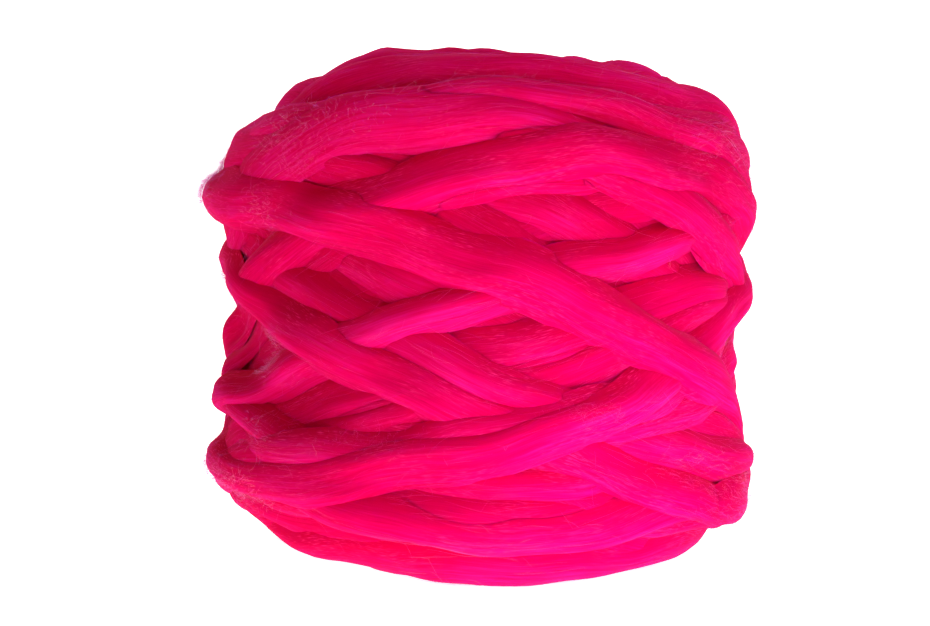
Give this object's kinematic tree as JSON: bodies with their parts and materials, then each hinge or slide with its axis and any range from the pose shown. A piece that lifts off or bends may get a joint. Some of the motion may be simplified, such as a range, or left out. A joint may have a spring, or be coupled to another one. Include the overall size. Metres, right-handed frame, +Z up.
{
  "type": "wound ball of wool roving",
  "caption": "Round-ended ball of thick combed wool roving, one strand wound crosswise in soft crossing bands, standing on one end.",
  "frame": {"origin": "centre of the ball's outline on the surface it stands on", "axes": "+Z up along the winding axis, -Y towards the viewer, +X to the viewer's right"},
  "size_m": [0.2767, 0.2734, 0.2438],
  "materials": {
    "pink_wool": "combed wool fibre dyed hot pink, soft sheen"
  },
  "bodies": {
    "root": {"wound_roving": "pink_wool"}
  },
  "joints": []
}
